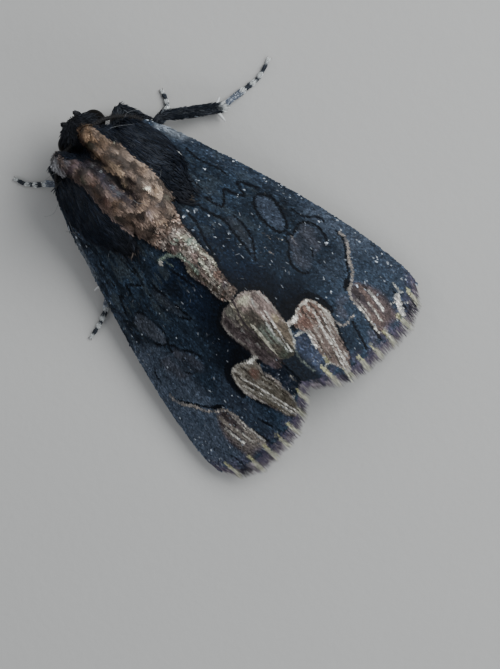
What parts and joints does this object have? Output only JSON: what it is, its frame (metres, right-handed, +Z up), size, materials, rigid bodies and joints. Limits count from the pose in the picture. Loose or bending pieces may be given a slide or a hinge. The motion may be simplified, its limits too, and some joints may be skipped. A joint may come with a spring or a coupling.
{
  "type": "moth",
  "caption": "Bird's wing moth at rest, its dark wings folded into a shallow roof with pale brown feather-shaped marks, and a middle leg stretched out.",
  "frame": {"origin": "centre of the base of the box round the whole moth, on the floor that its feet rest on", "axes": "+Y from the head to the tail, +X to the moth's left, +Z up"},
  "size_m": [0.0164, 0.0198, 0.0062],
  "materials": {
    "forewing_scales": "overlapping scales, blue-black with brown and cream markings",
    "hindwing_scales": "thin membrane with fine greyish brown scales",
    "thorax_fur": "long flat scales and hairs, mottled brown",
    "dark_fur": "dense blue-black hair scales",
    "abdomen_fur": "short greyish brown hair scales",
    "palp_fur": "short dark hair scales",
    "leg_scales": "dark hair scales",
    "tarsus_scales": "dark scales with pale rings",
    "antenna": "scaled shaft of fine rings",
    "eye": "smooth compound eye, near black"
  },
  "bodies": {
    "root": {"thorax": "thorax_fur", "head": "dark_fur", "abdomen": "abdomen_fur", "eye_right": "eye", "palp_right": "palp_fur", "collar_right": "thorax_fur", "forewing_right": "forewing_scales", "hindwing_right": "hindwing_scales", "tegula_right": "dark_fur", "antenna_right": "antenna", "eye_left": "eye", "palp_left": "palp_fur", "collar_left": "thorax_fur", "forewing_left": "forewing_scales", "hindwing_left": "hindwing_scales", "tegula_left": "dark_fur", "antenna_left": "antenna", "femur_fore_right": "leg_scales", "tibia_fore_right": "leg_scales", "tarsus_fore_right": "tarsus_scales", "femur_fore_left": "leg_scales", "tibia_fore_left": "leg_scales", "tarsus_fore_left": "tarsus_scales", "femur_mid_right": "leg_scales", "tibia_mid_right": "leg_scales", "tarsus_mid_right": "tarsus_scales", "femur_mid_left": "leg_scales", "tibia_mid_left": "leg_scales", "tarsus_mid_left": "tarsus_scales", "femur_hind_right": "leg_scales", "tibia_hind_right": "leg_scales", "tarsus_hind_right": "tarsus_scales", "femur_hind_left": "leg_scales", "tibia_hind_left": "leg_scales", "tarsus_hind_left": "tarsus_scales"}
  },
  "joints": []
}
